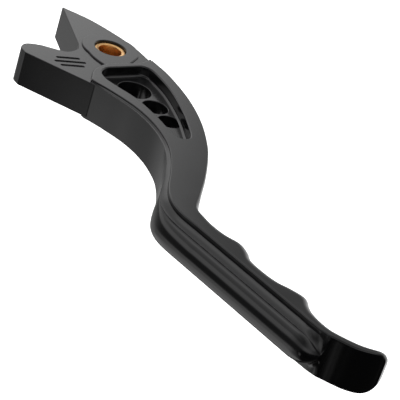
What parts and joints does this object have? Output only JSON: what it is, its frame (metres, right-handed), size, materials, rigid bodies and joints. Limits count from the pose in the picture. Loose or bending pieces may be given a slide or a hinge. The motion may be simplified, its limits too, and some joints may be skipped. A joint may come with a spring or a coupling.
{
  "type": "motorcycle front brake lever",
  "caption": "Black anodised motorcycle front brake lever with a bronze pivot bush, a windowed blade and a scalloped finger grip.",
  "frame": {"origin": "on the pivot axis, at half the lever's thickness", "axes": "+Z along the pivot axis to the lever's upper side, +X along the finger grip to its tip, +Y forward, away from the rider"},
  "size_m": [0.2025, 0.0653, 0.0146],
  "materials": {
    "anodised_aluminium": "black anodised, satin gloss",
    "bearing_bronze": "turned"
  },
  "bodies": {
    "root": {"lever_body": "anodised_aluminium", "pivot_bush": "bearing_bronze"}
  },
  "joints": []
}
